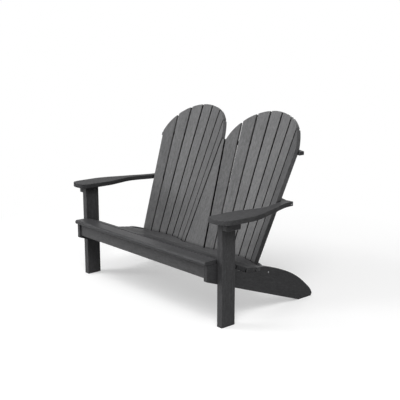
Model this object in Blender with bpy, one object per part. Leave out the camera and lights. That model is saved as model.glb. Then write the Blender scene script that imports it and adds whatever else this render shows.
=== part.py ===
"""Two-seat garden bench of plastic boards, with two fan backs and S-shaped arms.

The bench faces -Y, +X is to the right of someone facing it, and +Z is up. Lengths are in
metres. Heights are from the floor, and depths are from the front faces of the front legs.
At the end the whole bench is moved so that its middle is over the origin.
"""

import math

import bmesh
import bpy
from mathutils import Matrix, Vector

for leftover in list(bpy.data.objects):
    bpy.data.objects.remove(leftover, do_unlink=True)

# Fit and finish shared by the boards
JOINT_GAP = 0.0003
EDGE_EASE = 0.0015
EASE_STEPS = 2
EASE_ANGLE = math.radians(40)

# Front legs, and the blocks beside their tops
FRAME_WIDTH = 1.26
LEG_THICKNESS = 0.0375
LEG_DEPTH = 0.090
LEG_HEIGHT = 0.5515
BLOCK_WIDTH = 0.038
BLOCK_HEIGHT = 0.038
BLOCK_CORNER_RADIUS = 0.012

# Stringers, which run back under the seat and down to the floor
STRINGER_THICKNESS = 0.025
STRINGER_LENGTH = 0.808
STRINGER_REACH = 0.069
STRINGER_END_HEIGHT = 0.0842
TAIL_FOOT_LENGTH = 0.104
TAIL_TOE_SETBACK = 0.008
# Each point is a share of the way from the seat's end to the tail's end, then a share of
# the height where the seat ends
TAIL_LINE_SHARES = (
    (0.06, 0.993),
    (0.15, 0.951),
    (0.30, 0.869),
    (0.45, 0.772),
    (0.60, 0.650),
    (0.75, 0.489),
    (0.88, 0.309),
    (0.95, 0.198),
    (0.985, 0.118),
    (1.00, 0.058),
)
TAIL_STEPS = 2

# Apron across the front, between the side stringers
APRON_THICKNESS = 0.025
APRON_RECESS = 0.008
APRON_LIFT = 0.013

# Seat slats, from the nose backwards; the tilts are down towards the back
SEAT_HEIGHT = 0.3595
SEAT_SLAT_THICKNESS = 0.024
SEAT_SLAT_WIDTH = 0.070
SEAT_SLAT_GAP = 0.004
SEAT_TILTS = tuple(math.radians(tilt) for tilt in (0, 17, 28, 23.5, 9, 8))
NOSE_WIDTH = 0.0776
NOSE_OVERHANG = 0.0166
NOSE_RADIUS = 0.011
REAR_SLAT_END_WIDTH = 0.0353
SEAT_BACK_GAP = 0.003
SUPPORT_LIFT = 0.026

# Back fans: the slats of a fan spread from one point under the floor
BACK_HEIGHT = 1.0345
BACK_TILT = math.radians(22.3)
FAN_POINT_DROP = 1.4469
SLAT_PITCH = math.radians(1.9222)
SLAT_FOLD = math.radians(7.93)
SLAT_WIDTH_SHARE = 0.885
SLATS_BESIDE_CENTRE = 3
BACK_SLAT_THICKNESS = 0.024
FAN_TOP_BULGE = 0.0202
TOP_STEPS = 6
VALLEY_HEIGHT = 0.9903
WEDGE_TIP_WIDTH = 0.0186
WEDGE_GAP = 0.0015

# Level rails behind the back
RAIL_THICKNESS = 0.0205
TOP_RAIL_HEIGHT = 0.8235
TOP_RAIL_WIDTH = 0.028
TOP_RAIL_OVERHANG = 0.0175
MID_RAIL_WIDTH = 0.0505
LOWER_RAIL_WIDTH = 0.038
LOWER_RAIL_DROP = 0.030

# Arms
ARM_THICKNESS = 0.025
ARM_FRONT_REACH = 0.047
ARM_SIDE_OVERHANG = 0.0745
ARM_BACK_GAP = 0.001
ARM_TAIL_INSET = 0.007
# Each point is a share of the arm's width, out from its inner edge, then a share of its
# length, back from its front end
ARM_OUTER_SHARES = (
    (0.46, 0.000),
    (0.64, 0.004),
    (0.80, 0.018),
    (0.91, 0.046),
    (0.965, 0.095),
    (0.985, 0.170),
    (1.000, 0.270),
    (0.995, 0.350),
    (0.910, 0.455),
    (0.820, 0.520),
    (0.735, 0.580),
    (0.660, 0.640),
    (0.585, 0.705),
    (0.475, 0.775),
    (0.382, 0.848),
    (0.325, 0.900),
    (0.301, 0.955),
    (0.301, 1.000),
)
ARM_INNER_SHARES = (
    (0.000, 1.000),
    (0.000, 0.925),
    (0.045, 0.880),
    (0.100, 0.830),
    (0.165, 0.770),
    (0.235, 0.700),
    (0.260, 0.635),
    (0.240, 0.575),
    (0.165, 0.500),
    (0.085, 0.420),
    (0.020, 0.350),
    (0.000, 0.270),
    (0.000, 0.120),
    (0.012, 0.065),
    (0.060, 0.025),
    (0.180, 0.004),
)
ARM_STEPS = 3

# Screws and bolts
SCREW_RADIUS = 0.0025
SCREW_HEAD_RADIUS = 0.005
SCREW_HEAD_HEIGHT = 0.0025
SCREW_BITE = 0.018
END_SCREW_BITE = 0.032
BOLT_RADIUS = 0.004
BOLT_HEAD_RADIUS = 0.008
BOLT_HEAD_HEIGHT = 0.004
BOLT_BITE = 0.028
BORE_CLEARANCE = 0.0003
CUT_OVERRUN = 0.006
SCREW_SIDES = 8
# A pan head's profile: a share of its radius, then a share of its height
HEAD_PROFILE_SHARES = ((0.0, 1.0), (0.7, 0.85), (1.0, 0.35), (1.0, 0.0))
# The leg bolts' places: a share of the leg's depth, then a share of the stringer's height
LEG_BOLT_SHARES = ((0.3, 0.32), (0.7, 0.68))
# The places of the block's two screws along it: the one up into the arm, then the other
BLOCK_SCREW_SHARES = (0.35, 0.68)
# How far back along the end of the lower rail its screw lies
RAIL_SCREW_SHARE = 0.72

# Turns in a rounded corner, and points closer than this are one point
ROUND_STEPS = 5
MERGE_DISTANCE = 0.00001

# Places that several pieces share
SIDES = ((-1, "left"), (1, "right"))
LEG_OUTER = FRAME_WIDTH / 2
LEG_INNER = LEG_OUTER - LEG_THICKNESS
STRINGER_OUTER = LEG_INNER - JOINT_GAP
STRINGER_INNER = STRINGER_OUTER - STRINGER_THICKNESS
NOSE_UNDERSIDE = SEAT_HEIGHT - SEAT_SLAT_THICKNESS - JOINT_GAP
STRINGER_FRONT_HEIGHT = NOSE_UNDERSIDE - STRINGER_END_HEIGHT
FRONT_END = -STRINGER_REACH
TAIL_END = FRONT_END + STRINGER_LENGTH
TOE = TAIL_END - TAIL_TOE_SETBACK
HEEL = TOE - TAIL_FOOT_LENGTH
ARM_UNDERSIDE = LEG_HEIGHT + JOINT_GAP
ARM_TOP = ARM_UNDERSIDE + ARM_THICKNESS
MIDDLE = (Vector((1, 0, 0)), 0)


def new_finish(name, colour, roughness, metallic=0.0):
    """A plain surface: its colour, how rough it is and whether it is metal."""
    finish = bpy.data.materials.new(name)
    finish.use_nodes = True
    shader = finish.node_tree.nodes["Principled BSDF"]
    shader.inputs["Base Color"].default_value = (*colour, 1.0)
    shader.inputs["Roughness"].default_value = roughness
    shader.inputs["Metallic"].default_value = metallic
    finish.diffuse_color = (*colour, 1.0)
    return finish


BENCH = bpy.data.objects.new("bench", None)
bpy.context.scene.collection.objects.link(BENCH)
STEEL = new_finish("steel_screw", (0.45, 0.45, 0.46), 0.35, 1.0)


def mirrored(point, side):
    """The point itself on the right, and its mirror image on the left."""
    return Vector((side * point[0], point[1], point[2]))


def rounded_outline(corners, radii):
    """A flat outline, with a rounded corner wherever the corner's radius isn't zero."""
    outline = []
    for place, (corner, radius) in enumerate(zip(corners, radii)):
        corner = Vector(corner)
        if not radius:
            outline.append(corner)
            continue
        before = (Vector(corners[place - 1]) - corner).normalized()
        after = (Vector(corners[(place + 1) % len(corners)]) - corner).normalized()
        half = before.angle(after) / 2
        centre = corner + (before + after).normalized() * radius / math.sin(half)
        start = corner + before * radius / math.tan(half) - centre
        end = corner + after * radius / math.tan(half) - centre
        outline += [centre + spoke for spoke in turned_spokes(start, end, ROUND_STEPS)]
    return outline


def turned_spokes(start, end, steps):
    """The flat vector at the start, turned in equal steps until it lies at the end."""
    angle = -start.angle_signed(end)
    return [Matrix.Rotation(angle * step / steps, 2) @ start for step in range(steps + 1)]


def smooth_line(points, steps):
    """A smooth curve through the points, with this many steps between neighbours."""
    points = [Vector(point) for point in points]
    line = []
    for place, (start, end) in enumerate(zip(points, points[1:])):
        before = points[max(place - 1, 0)]
        after = points[min(place + 2, len(points) - 1)]
        leaving = (end - before) / 2 - (end - start)
        arriving = (after - start) / 2 - (end - start)
        for step in range(steps):
            t = step / steps
            bend = leaving * (t * (1 - t) ** 2) - arriving * (t * t * (1 - t))
            line.append(start.lerp(end, t) + bend)
    line.append(points[-1])
    return line


def meeting_point(*planes):
    """The point on three planes, each given by its normal and its distance from the origin."""
    normals = Matrix([normal for normal, distance in planes])
    return normals.inverted() @ Vector([distance for normal, distance in planes])


def level_plane(height):
    """The level plane at this height."""
    return (Vector((0, 0, 1)), height)


def shifted(planes, forward):
    """The same planes, moved this far along their normals."""
    return [(normal, distance + forward) for normal, distance in planes]


def add_object(name, shape, finish, placement):
    """An object with this shape, under the bench's own empty."""
    mesh = bpy.data.meshes.new(name)
    shape.to_mesh(mesh)
    shape.free()
    mesh.shade_smooth()
    mesh.set_sharp_from_angle(angle=EASE_ANGLE)
    if finish:
        mesh.materials.append(finish)
    item = bpy.data.objects.new(name, mesh)
    bpy.context.scene.collection.objects.link(item)
    item.parent = BENCH
    item.matrix_local = placement
    return item


def add_board(name, near, far, finish, placement=None):
    """A board between two matching outlines, with eased edges."""
    if placement is None:
        placement = Matrix.Translation(sum(near, Vector((0, 0, 0))) / len(near))
    to_board = placement.inverted()
    shape = bmesh.new()
    near_loop = [shape.verts.new(to_board @ point) for point in near]
    far_loop = [shape.verts.new(to_board @ point) for point in far]
    shape.faces.new(near_loop)
    shape.faces.new(far_loop)
    for place in range(len(near)):
        after = (place + 1) % len(near)
        shape.faces.new((near_loop[place], near_loop[after], far_loop[after], far_loop[place]))
    bmesh.ops.recalc_face_normals(shape, faces=shape.faces)
    board = add_object(name, shape, finish, placement)
    easing = board.modifiers.new("Eased edges", "BEVEL")
    easing.width = EDGE_EASE
    easing.segments = EASE_STEPS
    easing.limit_method = "ANGLE"
    easing.angle_limit = EASE_ANGLE
    easing.use_clamp_overlap = False
    return board


def add_crosswise_board(name, outline, left, right, finish):
    """A board whose outline is drawn in depth and height, between two places across."""
    near = [Vector((left, depth, height)) for depth, height in outline]
    far = [Vector((right, depth, height)) for depth, height in outline]
    return add_board(name, near, far, finish)


def add_level_board(name, outline, bottom, top, finish):
    """A board whose outline is seen from above, between two heights."""
    near = [Vector((across, depth, bottom)) for across, depth in outline]
    far = [Vector((across, depth, top)) for across, depth in outline]
    return add_board(name, near, far, finish)


def add_fastener(name, seat, outward, length, boards, is_bolt=False):
    """A screw or bolt whose head bears on the seat, in a hole bored through its boards."""
    radius = BOLT_RADIUS if is_bolt else SCREW_RADIUS
    head_radius = BOLT_HEAD_RADIUS if is_bolt else SCREW_HEAD_RADIUS
    head_height = BOLT_HEAD_HEIGHT if is_bolt else SCREW_HEAD_HEIGHT
    turn = Vector(outward).to_track_quat("Z", "Y").to_matrix().to_4x4()
    placement = Matrix.Translation(seat) @ turn
    profile = []
    for across, up in HEAD_PROFILE_SHARES:
        profile.append((across * head_radius, JOINT_GAP + up * head_height))
    profile += [(radius, JOINT_GAP), (radius, -length), (0, -length - radius)]
    add_object(name, turned_shape(profile), STEEL, placement)
    guide = add_object(name + "_bore", bore_shape(radius, length), None, placement)
    guide.hide_render = True
    guide.display_type = "WIRE"
    for board in boards:
        bore = board.modifiers.new("Bore for " + name, "BOOLEAN")
        bore.object = guide
        bore.operation = "DIFFERENCE"
        bore.solver = "EXACT"


def turned_shape(profile):
    """A solid turned from a profile that starts and ends on its own Z axis."""
    shape = bmesh.new()
    points = [shape.verts.new((across, 0, up)) for across, up in profile]
    edges = [shape.edges.new(pair) for pair in zip(points, points[1:])]
    bmesh.ops.spin(
        shape,
        geom=points + edges,
        axis=(0, 0, 1),
        cent=(0, 0, 0),
        angle=math.tau,
        steps=SCREW_SIDES,
    )
    bmesh.ops.remove_doubles(shape, verts=shape.verts, dist=MERGE_DISTANCE)
    bmesh.ops.recalc_face_normals(shape, faces=shape.faces)
    return shape


def bore_shape(radius, length):
    """What a fastener's hole takes away, from above its seat to just past its tip."""
    shape = bmesh.new()
    depth = length + radius + BORE_CLEARANCE
    bmesh.ops.create_cone(
        shape,
        cap_ends=True,
        segments=SCREW_SIDES,
        radius1=radius + BORE_CLEARANCE,
        radius2=radius + BORE_CLEARANCE,
        depth=depth + CUT_OVERRUN,
        matrix=Matrix.Translation((0, 0, (CUT_OVERRUN - depth) / 2)),
    )
    return shape


def seat_direction(tilt):
    """The way back along the top of a seat slat with this tilt."""
    return Vector((math.cos(tilt), -math.sin(tilt)))


def under_slat(point, tilt, distance):
    """The point this far below a point on top of a seat slat with this tilt."""
    return point - Vector((math.sin(tilt), math.cos(tilt))) * distance


def seat_slat_lines():
    """Where each seat slat's top starts and ends, as depth and height."""
    start = Vector((FRONT_END - NOSE_OVERHANG, SEAT_HEIGHT))
    widths = [NOSE_WIDTH] + [SEAT_SLAT_WIDTH] * (len(SEAT_TILTS) - 2) + [REAR_SLAT_END_WIDTH]
    lines = []
    for place, (tilt, width) in enumerate(zip(SEAT_TILTS, widths)):
        end = start + seat_direction(tilt) * width
        lines.append((start, end))
        if place + 1 < len(SEAT_TILTS):
            bend = SEAT_TILTS[place + 1] - tilt
            opening = SEAT_SLAT_GAP + 2 * SEAT_SLAT_THICKNESS * math.tan(max(bend, 0) / 2)
            start = end + seat_direction(tilt + bend / 2) * opening
    return lines


def stringer_top(slat_lines):
    """The line that the seat slats lie on, as depth and height, from front to back."""
    drop = SEAT_SLAT_THICKNESS + JOINT_GAP
    top = [Vector((FRONT_END, NOSE_UNDERSIDE))]
    top.append(under_slat(slat_lines[0][1], SEAT_TILTS[0], drop))
    for (start, end), tilt in zip(slat_lines[1:], SEAT_TILTS[1:]):
        top.append(under_slat(start, tilt, drop))
        top.append(under_slat(end, tilt, drop))
    return top


def height_under_stringer(depth):
    """The height of the stringer's straight lower edge at this depth."""
    return STRINGER_FRONT_HEIGHT * (HEEL - depth) / (HEEL - FRONT_END)


def fan_frames():
    """Side, up and front directions of each slat of the right fan, from its inner slat."""
    up = Vector((0, math.sin(BACK_TILT), math.cos(BACK_TILT)))
    front = Vector((0, -math.cos(BACK_TILT), math.sin(BACK_TILT)))
    frames = {0: (up.cross(front), up, front)}
    for way in (1, -1):
        side, up, front = frames[0]
        for place in range(1, SLATS_BESIDE_CENTRE + 1):
            edge = Matrix.Rotation(-way * SLAT_PITCH / 2, 3, front) @ up
            front = Matrix.Rotation(-way * SLAT_FOLD, 3, edge) @ front
            up = Matrix.Rotation(-way * SLAT_PITCH / 2, 3, front) @ edge
            frames[way * place] = (up.cross(front), up, front)
    return [frames[place] for place in sorted(frames)]


def wedge_frame(frames):
    """The inner edge of the right fan, and the front direction of the wedge between fans."""
    side, up, front = frames[0]
    edge = Matrix.Rotation(SLAT_PITCH / 2, 3, front) @ up
    return edge, mirrored(edge, -1).cross(edge).normalized()


def fan_point(frames, slat_lines):
    """The point that the right fan spreads from, set so that the fan meets the seat."""
    edge = wedge_frame(frames)[0]
    across = -edge.x / edge.z * (VALLEY_HEIGHT + FAN_POINT_DROP)
    corner = under_slat(slat_lines[-1][1], SEAT_TILTS[-1], SEAT_SLAT_THICKNESS)
    corner = Vector((STRINGER_INNER, corner.x, corner.y))
    front = frames[-1][2]
    reach = front.dot(corner) - SEAT_BACK_GAP - front.x * across + front.z * FAN_POINT_DROP
    return Vector((across, reach / front.y, -FAN_POINT_DROP))


def back_faces(frames, origin):
    """The front faces of the wedge and the right fan's slats, from the middle outwards."""
    fronts = [wedge_frame(frames)[1]] + [front for side, up, front in frames]
    return [(front, front.dot(origin)) for front in fronts]


def line_along_back(planes, level, end):
    """Points where the back's planes cross a level, from the middle out to the end's place."""
    points = [meeting_point(planes[0], MIDDLE, level)]
    for inner, outer in zip(planes, planes[1:]):
        points.append(meeting_point(inner, outer, level))
    points.append(meeting_point(planes[-1], (MIDDLE[0], end), level))
    return points


def whole_line(half):
    """A line from the left end to the right end, from its right half."""
    return [mirrored(point, -1) for point in reversed(half[1:])] + half


def outer_edge_at(frames, origin, height):
    """How far out the back of the outermost slat reaches at this height."""
    side, up, front = frames[-1]
    edge = Matrix.Rotation(-SLAT_WIDTH_SHARE * SLAT_PITCH / 2, 3, front) @ up
    corner = origin - front * BACK_SLAT_THICKNESS
    return corner.x + edge.x * (height - corner.z) / edge.z


def slat_foot(origin, frame, level):
    """How far up a slat its square-cut foot lies, with no corner below the level."""
    side, up, front = frame
    rise = level - origin.z + BACK_SLAT_THICKNESS * front.z
    slope = math.tan(SLAT_WIDTH_SHARE * SLAT_PITCH / 2)
    return rise / (up.z - slope * abs(side.z))


def slat_outline(place, foot, top_centre, top_radius):
    """A slat's outline across and up its own plane, cut by the circle of the fan's top."""
    swing = place * SLAT_PITCH
    centre = Vector((-math.sin(swing), math.cos(swing))) * top_centre
    slope = math.tan(SLAT_WIDTH_SHARE * SLAT_PITCH / 2)
    spokes = []
    for edge in (Vector((slope, 1)).normalized(), Vector((-slope, 1)).normalized()):
        middle = edge.dot(centre)
        spread = math.sqrt(middle**2 - centre.length_squared + top_radius**2)
        spokes.append(edge * (middle + spread) - centre)
    outline = [Vector((-slope * foot, foot)), Vector((slope * foot, foot))]
    return outline + [centre + spoke for spoke in turned_spokes(*spokes, TOP_STEPS)]


def build_legs():
    """The two front legs, by side."""
    finish = new_finish("plastic_leg", (0.070, 0.070, 0.073), 0.55)
    outline = [(0, 0), (LEG_DEPTH, 0), (LEG_DEPTH, LEG_HEIGHT), (0, LEG_HEIGHT)]
    legs = {}
    for side, word in SIDES:
        inner = side * LEG_INNER
        outer = side * LEG_OUTER
        legs[side] = add_crosswise_board("leg_" + word, outline, inner, outer, finish)
    return legs


def build_arm_blocks():
    """The blocks on the legs' outer faces, under the arms, by side."""
    finish = new_finish("plastic_arm_block", (0.070, 0.070, 0.073), 0.55)
    inner = LEG_OUTER + JOINT_GAP
    outer = inner + BLOCK_WIDTH
    corners = [(inner, 0), (outer, 0), (outer, LEG_DEPTH), (inner, LEG_DEPTH)]
    outline = rounded_outline(corners, (0, BLOCK_CORNER_RADIUS, 0, 0))
    bottom = LEG_HEIGHT - BLOCK_HEIGHT
    blocks = {}
    for side, word in SIDES:
        flipped = [(side * across, depth) for across, depth in outline]
        name = "arm_block_" + word
        blocks[side] = add_level_board(name, flipped, bottom, LEG_HEIGHT, finish)
    return blocks


def build_stringers(slat_lines):
    """The two side stringers, notched for the seat slats, by side."""
    finish = new_finish("plastic_stringer", (0.062, 0.062, 0.065), 0.55)
    tilt = SEAT_TILTS[-1]
    shoulder = slat_lines[-1][1] + seat_direction(tilt) * JOINT_GAP
    notch = under_slat(shoulder, tilt, SEAT_SLAT_THICKNESS + JOINT_GAP)
    tail = [shoulder]
    for along, up in TAIL_LINE_SHARES:
        depth = shoulder.x + along * (TAIL_END - shoulder.x)
        tail.append(Vector((depth, up * shoulder.y)))
    outline = [Vector((HEEL, 0)), Vector((FRONT_END, STRINGER_FRONT_HEIGHT))]
    outline += stringer_top(slat_lines)[:-1] + [notch]
    outline += smooth_line(tail, TAIL_STEPS) + [Vector((TOE, 0))]
    stringers = {}
    for side, word in SIDES:
        inner = side * STRINGER_INNER
        outer = side * STRINGER_OUTER
        name = "stringer_" + word
        stringers[side] = add_crosswise_board(name, outline, inner, outer, finish)
    return stringers


def build_apron():
    """The upright board under the nose of the seat."""
    finish = new_finish("plastic_apron", (0.070, 0.070, 0.073), 0.55)
    front = FRONT_END + APRON_RECESS
    back = front + APRON_THICKNESS
    bottom = STRINGER_FRONT_HEIGHT + APRON_LIFT
    top = NOSE_UNDERSIDE
    outline = [(front, bottom), (back, bottom), (back, top), (front, top)]
    end = STRINGER_INNER - JOINT_GAP
    add_crosswise_board("apron", outline, -end, end, finish)


def build_seat_slats(slat_lines, planes):
    """Plain slats across the stringers, and a last one, cut to the curves of the back."""
    finish = new_finish("plastic_seat", (0.070, 0.070, 0.073), 0.5)
    for place, ((start, end), tilt) in enumerate(zip(slat_lines[:-1], SEAT_TILTS)):
        below_start = under_slat(start, tilt, SEAT_SLAT_THICKNESS)
        below_end = under_slat(end, tilt, SEAT_SLAT_THICKNESS)
        outline = [below_start, below_end, end, start]
        if place == 0:
            outline = rounded_outline(outline, (NOSE_RADIUS, 0, 0, NOSE_RADIUS))
        name = "seat_slat_" + str(place + 1)
        add_crosswise_board(name, outline, -STRINGER_OUTER, STRINGER_OUTER, finish)
    build_rear_seat_slat(slat_lines[-1], planes, finish)


def build_rear_seat_slat(slat_line, planes, finish):
    """The last seat slat, with two lobes that reach back to the fans."""
    tilt = SEAT_TILTS[-1]
    start = under_slat(slat_line[0], tilt, SEAT_SLAT_THICKNESS)
    end = under_slat(slat_line[1], tilt, SEAT_SLAT_THICKNESS)
    up = Vector((0, math.sin(tilt), math.cos(tilt)))
    front_corner = Vector((STRINGER_OUTER, start.x, start.y))
    rear_corner = Vector((STRINGER_OUTER, end.x, end.y))
    underside = (up, up.dot(front_corner))
    curve = line_along_back(shifted(planes, SEAT_BACK_GAP), underside, STRINGER_INNER)
    near = whole_line(curve + [rear_corner])
    near += [front_corner, mirrored(front_corner, -1)]
    far = [point + up * SEAT_SLAT_THICKNESS for point in near]
    add_board("seat_slat_" + str(len(SEAT_TILTS)), near, far, finish)


def build_seat_support(slat_lines, wedge_plane, rail_underside, rail_back):
    """The middle support, from the apron to the lower rail, which rests on it."""
    finish = new_finish("plastic_seat_support", (0.062, 0.062, 0.065), 0.55)
    front = FRONT_END + APRON_RECESS + APRON_THICKNESS + JOINT_GAP
    level = rail_underside - JOINT_GAP
    top = stringer_top(slat_lines)
    tilt = SEAT_TILTS[-1]
    up = Vector((0, math.sin(tilt), math.cos(tilt)))
    underside = (up, up.dot(Vector((0, top[-1].x, top[-1].y))))
    step = meeting_point(wedge_plane, underside, MIDDLE)
    notch = meeting_point(wedge_plane, level_plane(level), MIDDLE)
    outline = []
    for depth in (rail_back, front):
        outline.append((depth, height_under_stringer(depth) + SUPPORT_LIFT))
    outline.append((front, top[0].y))
    outline += top[1:-1]
    outline += [(step.y, step.z), (notch.y, level), (rail_back, level)]
    half = STRINGER_THICKNESS / 2
    add_crosswise_board("seat_support", outline, -half, half, finish)


def build_back_slats(frames, origin, foot_level):
    """The slats of both fans, by side and by place from the bench's middle outwards."""
    finish = new_finish("plastic_back", (0.078, 0.078, 0.080), 0.5)
    reach = (BACK_HEIGHT + FAN_POINT_DROP) / math.cos(BACK_TILT)
    outer_angle = (SLATS_BESIDE_CENTRE + SLAT_WIDTH_SHARE / 2) * SLAT_PITCH
    top_centre = (reach - FAN_TOP_BULGE) / (1 + math.sin(outer_angle))
    slats = {}
    for side, word in SIDES:
        for number, frame in enumerate(frames):
            foot = slat_foot(origin, frame, foot_level)
            place = number - SLATS_BESIDE_CENTRE
            outline = slat_outline(place, foot, top_centre, reach - top_centre)
            across, up, front = (mirrored(way, side) for way in frame)
            turn = Matrix((side * across, up, front)).transposed().to_4x4()
            placement = Matrix.Translation(mirrored(origin, side)) @ turn
            near = [placement @ Vector((side * x, y, 0)) for x, y in outline]
            far = [point - front * BACK_SLAT_THICKNESS for point in near]
            label = number + 1 if side > 0 else len(frames) - number
            name = "back_" + word + "_" + str(label)
            slats[side, number] = add_board(name, near, far, finish, placement)
    return slats


def build_wedge(frames, origin, foot_level):
    """The wedge-shaped board between the fans, and the height of its tip.

    It stays clear of the backs of the fans' inner slats.
    """
    finish = new_finish("plastic_wedge", (0.082, 0.082, 0.084), 0.5)
    side, up, slat_front = frames[0]
    edge = Matrix.Rotation(SLAT_WIDTH_SHARE * SLAT_PITCH / 2, 3, slat_front) @ up
    start = origin - slat_front * BACK_SLAT_THICKNESS
    front = wedge_frame(frames)[1]
    back = (front, front.dot(origin) - BACK_SLAT_THICKNESS)
    half_tip = WEDGE_TIP_WIDTH / 2
    tip_level = start.z + edge.z * (half_tip + WEDGE_GAP - start.x) / edge.x
    half_foot = start.x + edge.x * (foot_level - start.z) / edge.z - WEDGE_GAP
    foot = meeting_point(back, level_plane(foot_level), (MIDDLE[0], half_foot))
    tip = meeting_point(back, level_plane(tip_level), (MIDDLE[0], half_tip))
    far = [mirrored(foot, -1), foot, tip, mirrored(tip, -1)]
    near = [point + front * BACK_SLAT_THICKNESS for point in far]
    add_board("back_wedge", near, far, finish)
    return near[2].z


def build_rail(name, planes, wedge_top, underside, width, end, finish):
    """A level rail whose front edge fits the slats, with the planes of its back edge.

    Above the wedge it runs straight on from one fan to the other.
    """
    if underside > wedge_top:
        planes = planes[1:]
    behind = shifted(planes, -BACK_SLAT_THICKNESS - JOINT_GAP)
    low = line_along_back(behind, level_plane(underside), end)
    high = line_along_back(behind, level_plane(underside + RAIL_THICKNESS), end)
    edges = []
    for (normal, distance), point in zip(planes, high[1:]):
        normal = Vector((normal.x, normal.y, 0)).normalized()
        edges.append((normal, normal.dot(point) - width))
    rear = whole_line(line_along_back(edges, level_plane(underside), end))
    rise = Vector((0, 0, RAIL_THICKNESS))
    near = whole_line(low) + rear[::-1]
    far = whole_line(high) + [point + rise for point in rear[::-1]]
    rail = add_board(name, near, far, finish)
    return rail, edges, low[-1].y, rear[-1].y


def build_arms(inner, rear_end):
    """The two arms, by side, and the middle of the right one's straight rear edge."""
    finish = new_finish("plastic_arm", (0.072, 0.072, 0.075), 0.5)
    width = LEG_OUTER + ARM_SIDE_OVERHANG - inner
    length = rear_end + ARM_FRONT_REACH
    outer_line = []
    inner_line = []
    for line, shares in ((outer_line, ARM_OUTER_SHARES), (inner_line, ARM_INNER_SHARES)):
        for across, back in shares:
            line.append(Vector((inner + across * width, back * length - ARM_FRONT_REACH)))
    outline = smooth_line(outer_line[:-1], ARM_STEPS) + [outer_line[-1], inner_line[0]]
    outline += smooth_line(inner_line[1:] + outer_line[:1], ARM_STEPS)[:-1]
    arms = {}
    for side, word in SIDES:
        flipped = [(side * across, back) for across, back in outline]
        arms[side] = add_level_board("arm_" + word, flipped, ARM_UNDERSIDE, ARM_TOP, finish)
    screw_seat = (outer_line[-1] + outer_line[-2]) / 2
    return arms, screw_seat


def fasten_legs(legs, stringers, slat_lines):
    """Two bolts through each stringer into its leg, from inside."""
    top = stringer_top(slat_lines)[2].y
    length = STRINGER_THICKNESS + JOINT_GAP + BOLT_BITE
    for side, word in SIDES:
        for number, (back, up) in enumerate(LEG_BOLT_SHARES):
            depth = back * LEG_DEPTH
            low = height_under_stringer(depth)
            seat = Vector((side * STRINGER_INNER, depth, low + up * (top - low)))
            name = "leg_bolt_" + word + "_" + str(number + 1)
            boards = (stringers[side], legs[side])
            add_fastener(name, seat, (-side, 0, 0), length, boards, is_bolt=True)


def fasten_blocks(legs, blocks, arms):
    """A screw through each leg into its block, and one up through the block into the arm."""
    arm_share, leg_share = BLOCK_SCREW_SHARES
    for side, word in SIDES:
        height = LEG_HEIGHT - BLOCK_HEIGHT / 2
        seat = Vector((side * LEG_INNER, LEG_DEPTH * leg_share, height))
        length = LEG_THICKNESS + JOINT_GAP + SCREW_BITE
        boards = (legs[side], blocks[side])
        add_fastener("block_screw_" + word, seat, (-side, 0, 0), length, boards)
        across = LEG_OUTER + JOINT_GAP + BLOCK_WIDTH / 2
        bottom = LEG_HEIGHT - BLOCK_HEIGHT
        seat = Vector((side * across, LEG_DEPTH * arm_share, bottom))
        length = BLOCK_HEIGHT + JOINT_GAP + SCREW_BITE
        boards = (blocks[side], arms[side])
        add_fastener("arm_screw_" + word + "_front", seat, (0, 0, -1), length, boards)


def fasten_arm_tails(arms, mid_rail, screw_seat, inner):
    """A screw through each arm's rear edge into the end of the mid rail."""
    length = screw_seat.x - inner + JOINT_GAP + END_SCREW_BITE
    height = ARM_UNDERSIDE + RAIL_THICKNESS / 2
    for side, word in SIDES:
        seat = Vector((side * screw_seat.x, screw_seat.y, height))
        boards = (arms[side], mid_rail)
        add_fastener("arm_screw_" + word + "_rear", seat, (side, 0, 0), length, boards)


def fasten_lower_rail(stringers, lower_rail, depth, underside):
    """A screw through each stringer into the end of the lower rail."""
    length = STRINGER_THICKNESS + JOINT_GAP + END_SCREW_BITE
    height = underside + RAIL_THICKNESS / 2
    for side, word in SIDES:
        seat = Vector((side * STRINGER_OUTER, depth, height))
        boards = (stringers[side], lower_rail)
        add_fastener("rail_screw_" + word, seat, (side, 0, 0), length, boards)


def fasten_back(slats, frames, origin, top_rail, edges):
    """A screw from behind through the top rail into each slat, square to the rail's edge."""
    height = TOP_RAIL_HEIGHT + RAIL_THICKNESS / 2
    for side, word in SIDES:
        for number, (across, up, front) in enumerate(frames):
            normal, distance = edges[number - len(frames)]
            centre = origin + up * ((height - origin.z) / up.z)
            seat = centre - normal * (normal.dot(centre) - distance)
            rear_face = front.dot(origin) - BACK_SLAT_THICKNESS
            length = (rear_face - front.dot(seat)) / front.dot(normal) + SCREW_BITE
            label = number + 1 if side > 0 else len(frames) - number
            name = "slat_screw_" + word + "_" + str(label)
            boards = (top_rail, slats[side, number])
            outward = mirrored(-normal, side)
            add_fastener(name, mirrored(seat, side), outward, length, boards)


def centre_over_origin():
    """Moves the whole bench in depth, so that its middle is over the origin."""
    bpy.context.view_layer.update()
    graph = bpy.context.evaluated_depsgraph_get()
    depths = []
    for item in BENCH.children:
        if not item.hide_render:
            shape = item.evaluated_get(graph)
            depths += [(shape.matrix_world @ Vector(corner)).y for corner in shape.bound_box]
    BENCH.location.y = -(min(depths) + max(depths)) / 2
    bpy.context.view_layer.update()


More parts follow.
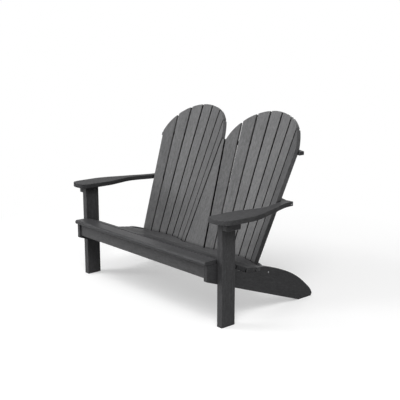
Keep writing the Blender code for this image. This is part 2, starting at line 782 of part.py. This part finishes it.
def build_bench():
    """Every board, in the order in which they carry each other, and then the fasteners."""
    slat_lines = seat_slat_lines()
    frames = fan_frames()
    origin = fan_point(frames, slat_lines)
    planes = back_faces(frames, origin)
    seat_end = slat_lines[-1][1].y
    rail_underside = seat_end - LOWER_RAIL_DROP - RAIL_THICKNESS

    legs = build_legs()
    blocks = build_arm_blocks()
    stringers = build_stringers(slat_lines)
    build_apron()
    build_seat_slats(slat_lines, planes)
    slats = build_back_slats(frames, origin, rail_underside)
    wedge_top = build_wedge(frames, origin, rail_underside)

    rails = new_finish("plastic_rail", (0.062, 0.062, 0.065), 0.55)
    end = STRINGER_INNER - JOINT_GAP
    lower_rail, edges, front, rear = build_rail(
        "lower_rail", planes, wedge_top, rail_underside, LOWER_RAIL_WIDTH, end, rails
    )
    screw_depth = front + RAIL_SCREW_SHARE * (rear - front)
    fasten_lower_rail(stringers, lower_rail, screw_depth, rail_underside)
    rail_back = meeting_point(edges[0], MIDDLE, level_plane(rail_underside)).y
    wedge_plane = shifted(planes, SEAT_BACK_GAP)[0]
    build_seat_support(slat_lines, wedge_plane, rail_underside, rail_back)

    inner = outer_edge_at(frames, origin, ARM_TOP) + ARM_BACK_GAP
    end = inner - JOINT_GAP
    mid_rail, edges, front, rear = build_rail(
        "mid_rail", planes, wedge_top, ARM_UNDERSIDE, MID_RAIL_WIDTH, end, rails
    )
    arms, screw_seat = build_arms(inner, rear - ARM_TAIL_INSET)
    fasten_arm_tails(arms, mid_rail, screw_seat, inner)

    end = outer_edge_at(frames, origin, TOP_RAIL_HEIGHT) + TOP_RAIL_OVERHANG
    top_rail, edges, front, rear = build_rail(
        "top_rail", planes, wedge_top, TOP_RAIL_HEIGHT, TOP_RAIL_WIDTH, end, rails
    )
    fasten_back(slats, frames, origin, top_rail, edges)
    fasten_legs(legs, stringers, slat_lines)
    fasten_blocks(legs, blocks, arms)
    centre_over_origin()


build_bench()
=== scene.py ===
"""Looks of the two-seat garden bench: grained charcoal plastic boards and steel fasteners."""

import math

import bpy
import numpy as np
from mathutils import Matrix, Vector

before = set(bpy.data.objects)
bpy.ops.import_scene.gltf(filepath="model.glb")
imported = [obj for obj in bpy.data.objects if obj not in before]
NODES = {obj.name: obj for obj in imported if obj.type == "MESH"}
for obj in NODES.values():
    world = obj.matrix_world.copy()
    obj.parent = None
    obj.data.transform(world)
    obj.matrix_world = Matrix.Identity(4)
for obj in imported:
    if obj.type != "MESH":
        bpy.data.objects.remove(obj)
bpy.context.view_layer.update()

# Camera, solved from the photograph
LENS = 68.82
CAMERA_PLACE = (3.3073, -2.83906, 1.4541)
CAMERA_TURN = (math.radians(77.905), 0.0, math.radians(48.666))

# Noises on the boards: scale, detail, roughness, and the scale along the board as a share
# of the scale across it
BOARD_NOISES = {
    "streaks": (150.0, 4.0, 0.65, 1.0 / 14.0),
    "fibres": (900.0, 2.0, 0.5, 0.16),
    "speckle": (300.0, 4.0, 0.72, 1.0),
    "mottle": (95.0, 2.0, 0.6, 0.45),
    "clouds": (9.0, 2.0, 0.5, 0.4),
    "wear_and_highlight": (70.0, 3.0, 0.6, 1.0),
}
# The part of a noise's range that is spread over the ranges of tone and roughness
NOISE_RANGE = (0.30, 0.70)
TONE_RANGES = {
    "streaks": (0.84, 1.18),
    "speckle": (0.80, 1.22),
    "mottle": (0.86, 1.15),
    "clouds": (0.93, 1.07),
}
ROUGH_SPECKLE_RANGE = (-0.05, 0.05)
BUMP_SHARES = {"streaks": 0.6, "fibres": 0.25, "speckle": 0.35}
BOARD_BUMP_STRENGTH = 0.35
BOARD_BUMP_DEPTH = 0.0008
# Each board's grain is this much further along it than the last board's, in metres
GRAIN_SHIFT = 1.7

# Paler edges, worn on every board and a painted highlight on the nose's rounded front: the
# cosines between the flat and the rounded normal where the paling starts and is full, then the
# range of the noise that breaks it up, and how much of the paling it keeps
EDGE_COSINES = (0.995, 0.90)
EDGE_SAMPLES = 6
WEAR_AND_HIGHLIGHT_RANGE = (0.35, 0.65)
WEAR_AND_HIGHLIGHT_SHARES = (0.35, 1.0)

# Painted shade in the crevices between the boards: how far off a board still darkens a point,
# in metres, and the tone where the painted shade is darkest
CREVICE_SHADE_REACH = 0.024
CREVICE_SHADE_TONE = 0.03
CREVICE_SHADE_SAMPLES = 8

# Radius of the rounded edges, how much paler they are (wear, and on the nose a painted
# highlight), specular level, range of roughness, and the range of openness over which the
# painted crevice shade darkens the colour
FINISHES_AND_PAINTED_LIGHT = {
    "plain": (0.0038, 1.35, 0.12, (0.40, 0.50), (0.15, 0.65)),
    "back": (0.0022, 1.05, 0.12, (0.40, 0.50), (0.44, 0.90)),
    "level": (0.0038, 1.35, 0.02, (0.40, 0.50), (0.15, 0.65)),
    # The nose's much paler rounded edge is a painted highlight
    "nose": (0.0045, 2.20, 0.09, (0.34, 0.44), (0.15, 0.65)),
}
# One charcoal plastic in lighter and darker copies, by how the nodes' names begin or end: the
# differences between them are painted light and shade
LIT_AND_SHADED_COLOURS = {
    "leg": (0.057, 0.057, 0.059),
    "arm_block": (0.064, 0.064, 0.066),
    "arm": (0.068, 0.068, 0.070),
    "arm_left": (0.047, 0.047, 0.049),
    "stringer": (0.047, 0.047, 0.049),
    "apron": (0.069, 0.069, 0.071),
    "seat_slat_1": (0.049, 0.049, 0.051),
    "seat_slat": (0.048, 0.048, 0.050),
    "seat_slat_4": (0.055, 0.055, 0.057),
    # The rear seat slats are made paler as painted light
    "seat_slat_5": (0.078, 0.078, 0.080),
    "seat_slat_6": (0.096, 0.096, 0.098),
    "seat_support": (0.048, 0.048, 0.050),
    "back": (0.115, 0.115, 0.117),
    "back_right": (0.126, 0.126, 0.128),
    "back_right_7": (0.082, 0.082, 0.084),
    "back_wedge": (0.104, 0.104, 0.106),
    "rail": (0.056, 0.056, 0.058),
}
# Shading: points closer than this are joined, in metres, and the weight of broad faces
MERGE_DISTANCE = 0.00001
BROAD_FACE_WEIGHT = 100

# Steel: its two colours, and scale, detail and roughness of its fine and broad noises
BRIGHT_STEEL_COLOUR = (0.24, 0.24, 0.245)
DARK_STEEL_COLOUR = (0.10, 0.10, 0.105)
STEEL_FINE_NOISE = (2400.0, 3.0, 0.6)
STEEL_BROAD_NOISE = (160.0, 3.0, 0.5)
STEEL_TONE_RANGE = (0.82, 1.1)
STEEL_ROUGH_RANGE = (0.26, 0.44)
STEEL_BUMP_STRENGTH = 0.25
STEEL_BUMP_DEPTH = 0.0002

# Floor: its half width, where it fades to plain white, how far its soft shade reaches, how
# bright it is in that shade and in the open, how much lamp light it shows, and the grey that
# it lights the bench with
FLOOR_REACH = 30.0
FLOOR_FADE = (1.35, 2.35)
FLOOR_SHADE_REACH = 1.3
FLOOR_SHADE_SAMPLES = 16
FLOOR_BASE = 0.34
FLOOR_OPEN = 0.62
FLOOR_LIT = 0.54
FLOOR_PALE = 0.38

# World light on the bench, and the lamps: degrees from the front towards +X, degrees up,
# distance and size in metres, and power in watts
WORLD_LIGHT = 0.10
LIT_POINT = Vector((0, 0, 0.5))
LAMPS = {
    "front_left": (-40, 20, 6.0, 2.6, 170),
    "front_left_high": (-40, 40, 2.8, 1.4, 20),
    "front_right_high": (50, 50, 6.0, 2.6, 156),
    "front_right_near": (45, 35, 2.8, 1.4, 21),
    "behind": (200, 10, 6.0, 2.6, 110),
}


def new_material(name):
    """A material with its nodes, its links and its main shader."""
    material = bpy.data.materials.new(name)
    material.use_nodes = True
    nodes = material.node_tree.nodes
    return material, nodes, material.node_tree.links, nodes["Principled BSDF"]


def board_axes(mesh):
    """A board's middle, and its own axes as columns: across, through and along."""
    count = len(mesh.vertices)
    places = np.zeros(count * 3)
    mesh.vertices.foreach_get("co", places)
    places = np.unique(places.reshape(-1, 3).round(6), axis=0)
    low, high = places.min(0), places.max(0)
    middle = places.mean(0)
    axes = np.linalg.eigh(np.cov((places - middle).T))[1]
    along = Vector(axes[:, 2]).normalized()
    across = Vector(axes[:, 1])
    across = (across - along * across.dot(along)).normalized()
    through = along.cross(across)
    return Vector((low + high) / 2), Matrix((across, through, along)).transposed()


def noise(nodes, links, coordinates, scale, detail, roughness, stretch=1.0):
    """The factor output of a noise texture, stretched along Z where a stretch is given."""
    if stretch != 1.0:
        mapping = nodes.new("ShaderNodeMapping")
        mapping.inputs["Scale"].default_value = (1.0, 1.0, stretch)
        links.new(coordinates, mapping.inputs["Vector"])
        coordinates = mapping.outputs["Vector"]
    texture = nodes.new("ShaderNodeTexNoise")
    texture.inputs["Scale"].default_value = scale
    texture.inputs["Detail"].default_value = detail
    texture.inputs["Roughness"].default_value = roughness
    links.new(coordinates, texture.inputs["Vector"])
    return texture.outputs["Fac"]


def remap(nodes, links, value, start, end, low, high):
    """The value, moved from one range to another and held inside it."""
    node = nodes.new("ShaderNodeMapRange")
    limits = {"From Min": start, "From Max": end, "To Min": low, "To Max": high}
    for name, number in limits.items():
        node.inputs[name].default_value = number
    links.new(value, node.inputs["Value"])
    return node.outputs["Result"]


def maths(nodes, links, operation, first, second):
    """The result of one operation on two values, each a socket or a number."""
    node = nodes.new("ShaderNodeMath")
    node.operation = operation
    for place, value in enumerate((first, second)):
        if isinstance(value, (int, float)):
            node.inputs[place].default_value = value
        else:
            links.new(value, node.inputs[place])
    return node.outputs["Value"]


def add_paint(nodes, links, shader, colour, tone):
    """The shader's base colour: the colour, made darker and paler by the tone."""
    paint = nodes.new("ShaderNodeVectorMath")
    paint.operation = "SCALE"
    paint.inputs[0].default_value = colour
    links.new(tone, paint.inputs["Scale"])
    links.new(paint.outputs["Vector"], shader.inputs["Base Color"])


def add_bump(nodes, links, shader, height, strength, depth):
    """The shader's normal, bumped by the height."""
    bump = nodes.new("ShaderNodeBump")
    bump.inputs["Strength"].default_value = strength
    bump.inputs["Distance"].default_value = depth
    links.new(height, bump.inputs["Height"])
    links.new(bump.outputs["Normal"], shader.inputs["Normal"])
    return bump


def board_material(name, mesh, colour, number, finish_and_painted_light):
    """Charcoal plastic lumber in its board's lit or shaded colour, with its grain along this
    board, its edges paler (worn, and on the nose a painted highlight), and painted shade in its
    crevices.
    """
    radius, wear_and_highlight, gloss, rough_range, crevice_shade_range = finish_and_painted_light
    material, nodes, links, shader = new_material(name)
    middle, axes = board_axes(mesh)
    place = nodes.new("ShaderNodeTexCoord").outputs["Object"]
    board = nodes.new("ShaderNodeMapping")
    board.vector_type = "TEXTURE"
    grain_start = Vector((0, 0, GRAIN_SHIFT * number))
    board.inputs["Location"].default_value = middle + axes @ grain_start
    board.inputs["Rotation"].default_value = axes.to_euler()
    links.new(place, board.inputs["Vector"])
    local = board.outputs["Vector"]
    layers = {
        layer: noise(nodes, links, local, *shape) for layer, shape in BOARD_NOISES.items()
    }

    tone = 1.0
    for layer, tones in TONE_RANGES.items():
        share = remap(nodes, links, layers[layer], *NOISE_RANGE, *tones)
        tone = maths(nodes, links, "MULTIPLY", tone, share)

    rounded = nodes.new("ShaderNodeBevel")
    rounded.samples = EDGE_SAMPLES
    rounded.inputs["Radius"].default_value = radius
    flat = nodes.new("ShaderNodeNewGeometry").outputs["True Normal"]
    dot = nodes.new("ShaderNodeVectorMath")
    dot.operation = "DOT_PRODUCT"
    links.new(rounded.outputs["Normal"], dot.inputs[0])
    links.new(flat, dot.inputs[1])
    edge = remap(nodes, links, dot.outputs["Value"], *EDGE_COSINES, 0.0, 1.0)
    # Paler edges: wear broken up by noise, and on the nose a painted highlight
    wear_and_highlight_share = remap(nodes, links, layers["wear_and_highlight"], *WEAR_AND_HIGHLIGHT_RANGE, *WEAR_AND_HIGHLIGHT_SHARES)
    edge = maths(nodes, links, "MULTIPLY", edge, wear_and_highlight_share)
    tone = maths(nodes, links, "MULTIPLY", tone, remap(nodes, links, edge, 0.0, 1.0, 1.0, wear_and_highlight))

    # Painted shade: the colour darkens where boards come close, as shade would fall in the
    # crevices
    crevice_shade = nodes.new("ShaderNodeAmbientOcclusion")
    crevice_shade.samples = CREVICE_SHADE_SAMPLES
    crevice_shade.inputs["Distance"].default_value = CREVICE_SHADE_REACH
    unshaded_share = remap(nodes, links, crevice_shade.outputs["AO"], *crevice_shade_range, CREVICE_SHADE_TONE, 1.0)
    tone = maths(nodes, links, "MULTIPLY", tone, unshaded_share)
    add_paint(nodes, links, shader, colour, tone)

    rough = remap(nodes, links, layers["streaks"], *NOISE_RANGE, *rough_range)
    speckle = remap(nodes, links, layers["speckle"], *NOISE_RANGE, *ROUGH_SPECKLE_RANGE)
    rough = maths(nodes, links, "ADD", rough, speckle)
    links.new(rough, shader.inputs["Roughness"])
    shader.inputs["Specular IOR Level"].default_value = gloss

    height = 0.0
    for layer, share in BUMP_SHARES.items():
        part = maths(nodes, links, "MULTIPLY", layers[layer], share)
        height = maths(nodes, links, "ADD", height, part)
    bump = add_bump(nodes, links, shader, height, BOARD_BUMP_STRENGTH, BOARD_BUMP_DEPTH)
    links.new(rounded.outputs["Normal"], bump.inputs["Normal"])
    return material


def steel_material(name, colour):
    """Brushed steel, with fine turned marks."""
    material, nodes, links, shader = new_material(name)
    place = nodes.new("ShaderNodeTexCoord").outputs["Object"]
    fine = noise(nodes, links, place, *STEEL_FINE_NOISE)
    broad = noise(nodes, links, place, *STEEL_BROAD_NOISE)
    tone = remap(nodes, links, broad, *NOISE_RANGE, *STEEL_TONE_RANGE)
    add_paint(nodes, links, shader, colour, tone)
    shader.inputs["Metallic"].default_value = 1.0
    rough = remap(nodes, links, fine, *NOISE_RANGE, *STEEL_ROUGH_RANGE)
    links.new(rough, shader.inputs["Roughness"])
    add_bump(nodes, links, shader, fine, STEEL_BUMP_STRENGTH, STEEL_BUMP_DEPTH)
    return material


def soften_shading(item):
    """Smooth shading that keeps the broad faces flat."""
    mesh = item.data
    for name in ("custom_normal", "sharp_edge", "sharp_face"):
        if name in mesh.attributes:
            mesh.attributes.remove(mesh.attributes[name])
    mesh.shade_smooth()
    weld = item.modifiers.new("Joined facets", "WELD")
    weld.merge_threshold = MERGE_DISTANCE
    normals = item.modifiers.new("Broad faces first", "WEIGHTED_NORMAL")
    normals.mode = "FACE_AREA"
    normals.weight = BROAD_FACE_WEIGHT


def kind_of(name):
    """Which of the finishes, with their painted highlight and shade, a board has."""
    if name.startswith("back"):
        return "back"
    if name == "seat_slat_1":
        return "nose"
    level = name.startswith("seat_slat") or name.endswith("rail")
    if level or name in ("arm_left", "arm_right"):
        return "level"
    return "plain"


def colour_of(name):
    """The lit or shaded colour of the longest group name that the node's name begins or ends
    with.
    """
    fits = [group for group in LIT_AND_SHADED_COLOURS if name.startswith(group) or name.endswith(group)]
    return LIT_AND_SHADED_COLOURS[max(fits, key=len)]


def dress_bench():
    """Every node's shading and material."""
    bright_steel = steel_material("steel_screw_bright", BRIGHT_STEEL_COLOUR)
    dark_steel = steel_material("steel_screw_dark", DARK_STEEL_COLOUR)
    for number, name in enumerate(sorted(NODES)):
        node = NODES[name]
        soften_shading(node)
        if name.startswith("rail_screw") or name.endswith("_rear"):
            material = bright_steel
        elif "screw" in name or "bolt" in name:
            material = dark_steel
        else:
            colour, finish_and_painted_light = colour_of(name), FINISHES_AND_PAINTED_LIGHT[kind_of(name)]
            material = board_material("plastic_" + name, node.data, colour, number, finish_and_painted_light)
        node.material_slots[0].material = material


def seen_directly(nodes, links):
    """One where a camera, glossy or transmission ray arrives, and nought elsewhere."""
    path = nodes.new("ShaderNodeLightPath")
    seen = path.outputs["Is Camera Ray"]
    for ray in ("Is Glossy Ray", "Is Transmission Ray"):
        seen = maths(nodes, links, "MAXIMUM", seen, path.outputs[ray])
    return seen


def floor_material():
    """White where it is seen, with the object's soft shadow; pale where it only lights."""
    material, nodes, links, shader = new_material("pale_floor")
    nodes.remove(shader)
    place = nodes.new("ShaderNodeTexCoord").outputs["Object"]
    length = nodes.new("ShaderNodeVectorMath")
    length.operation = "LENGTH"
    links.new(place, length.inputs[0])
    far = remap(nodes, links, length.outputs["Value"], *FLOOR_FADE, 0.0, 1.0)

    around = nodes.new("ShaderNodeAmbientOcclusion")
    around.samples = FLOOR_SHADE_SAMPLES
    around.inputs["Distance"].default_value = FLOOR_SHADE_REACH
    glow = remap(nodes, links, around.outputs["AO"], 0.0, 1.0, FLOOR_BASE, FLOOR_OPEN)
    base = nodes.new("ShaderNodeEmission")
    links.new(glow, base.inputs["Strength"])
    lit = nodes.new("ShaderNodeBsdfDiffuse")
    lit.inputs["Color"].default_value = (FLOOR_LIT, FLOOR_LIT, FLOOR_LIT, 1)
    near = nodes.new("ShaderNodeAddShader")
    links.new(base.outputs[0], near.inputs[0])
    links.new(lit.outputs[0], near.inputs[1])
    white = nodes.new("ShaderNodeEmission")
    shown = nodes.new("ShaderNodeMixShader")
    links.new(far, shown.inputs["Fac"])
    links.new(near.outputs[0], shown.inputs[1])
    links.new(white.outputs[0], shown.inputs[2])

    pale = nodes.new("ShaderNodeBsdfDiffuse")
    pale.inputs["Color"].default_value = (FLOOR_PALE, FLOOR_PALE, FLOOR_PALE, 1)
    whole = nodes.new("ShaderNodeMixShader")
    links.new(seen_directly(nodes, links), whole.inputs["Fac"])
    links.new(pale.outputs[0], whole.inputs[1])
    links.new(shown.outputs[0], whole.inputs[2])
    links.new(whole.outputs[0], nodes["Material Output"].inputs["Surface"])
    return material


def build_floor():
    """A large level floor under the bench."""
    mesh = bpy.data.meshes.new("floor")
    signs = ((-1, -1), (1, -1), (1, 1), (-1, 1))
    corners = [(x * FLOOR_REACH, y * FLOOR_REACH, 0) for x, y in signs]
    mesh.from_pydata(corners, [], [(0, 1, 2, 3)])
    mesh.materials.append(floor_material())
    floor = bpy.data.objects.new("floor", mesh)
    bpy.context.scene.collection.objects.link(floor)


def build_world():
    """White where it is seen, and a soft light on the bench."""
    world = bpy.data.worlds.new("studio")
    bpy.context.scene.world = world
    world.use_nodes = True
    nodes, links = world.node_tree.nodes, world.node_tree.links
    background = nodes["Background"]
    background.inputs["Color"].default_value = (1, 1, 1, 1)
    seen = seen_directly(nodes, links)
    strength = remap(nodes, links, seen, 0.0, 1.0, WORLD_LIGHT, 1.0)
    links.new(strength, background.inputs["Strength"])


def add_lamp(name, turn, rise, distance, size, power):
    """A square soft light that faces the bench: turn is from the front towards +X."""
    light = bpy.data.lights.new(name, "AREA")
    light.shape = "SQUARE"
    light.size = size
    light.energy = power
    lamp = bpy.data.objects.new(name, light)
    bpy.context.scene.collection.objects.link(lamp)
    turn, rise = math.radians(turn), math.radians(rise)
    reach = math.cos(rise)
    away = Vector((math.sin(turn) * reach, -math.cos(turn) * reach, math.sin(rise)))
    lamp.location = LIT_POINT + away * distance
    lamp.rotation_euler = away.to_track_quat("Z", "Y").to_euler()


def add_camera():
    """The photograph's camera."""
    camera = bpy.data.objects.new("camera", bpy.data.cameras.new("camera"))
    bpy.context.scene.collection.objects.link(camera)
    camera.data.lens = LENS
    camera.location = CAMERA_PLACE
    camera.rotation_euler = CAMERA_TURN
    bpy.context.scene.camera = camera


dress_bench()
build_floor()
build_world()
for lamp_name, settings in LAMPS.items():
    add_lamp(lamp_name, *settings)
add_camera()
bpy.context.scene.view_settings.view_transform = "Standard"
